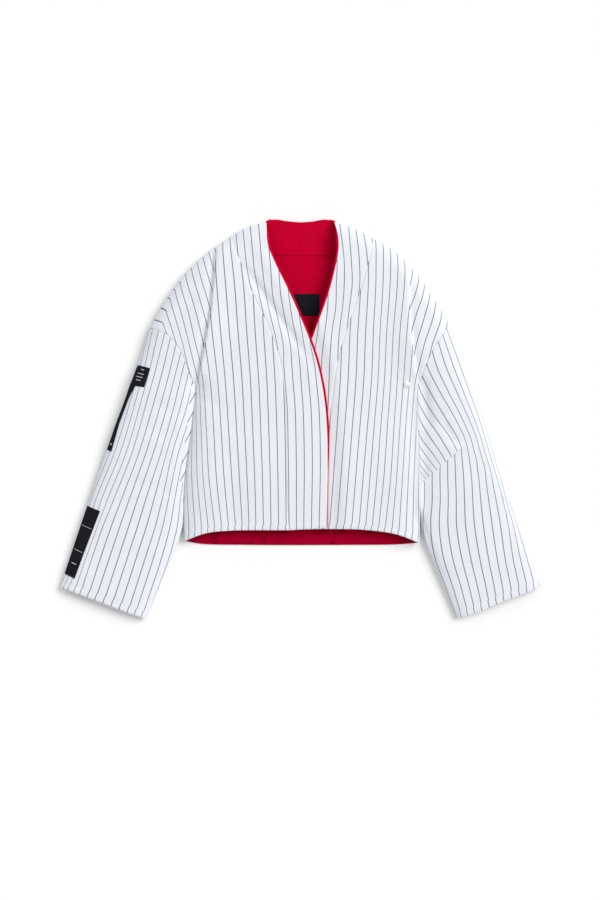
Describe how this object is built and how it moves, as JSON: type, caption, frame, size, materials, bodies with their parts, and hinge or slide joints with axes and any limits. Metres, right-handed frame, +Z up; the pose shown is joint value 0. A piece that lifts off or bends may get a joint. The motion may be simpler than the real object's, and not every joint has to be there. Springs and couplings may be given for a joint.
{
  "type": "reversible jacket",
  "caption": "Cropped wrap-over reversible jacket laid flat: striped cloth with a red inner face, grown-on neck band, drop shoulders, wide open cuffs, a snap and dark sewn patches",
  "frame": {"origin": "middle of the laid garment's outline, on the surface that it lies on", "axes": "+X to the wearer's left, +Y from the hem to the collar, +Z up from the surface"},
  "size_m": [0.844, 0.7025, 0.036],
  "materials": {
    "striped_cloth": "crisp plain-weave cotton, cool white with a fine dark pinstripe, softly padded",
    "red_cloth": "smooth red cotton, matt",
    "label_cloth": "black woven tape, matt",
    "snap_metal": "pale polished snap cap"
  },
  "bodies": {
    "root": {"back_panel": "striped_cloth", "back_lining": "red_cloth", "front_right": "striped_cloth", "front_left": "striped_cloth", "band_right": "striped_cloth", "band_left": "striped_cloth", "band_lining_right": "red_cloth", "band_lining_left": "red_cloth", "edge_right": "red_cloth", "edge_left": "red_cloth", "edge_neck": "red_cloth", "sleeve_right": "striped_cloth", "sleeve_left": "striped_cloth", "sleeve_patch_upper": "label_cloth", "sleeve_patch_lower": "label_cloth", "neck_label": "label_cloth", "snap": "snap_metal"}
  },
  "joints": []
}
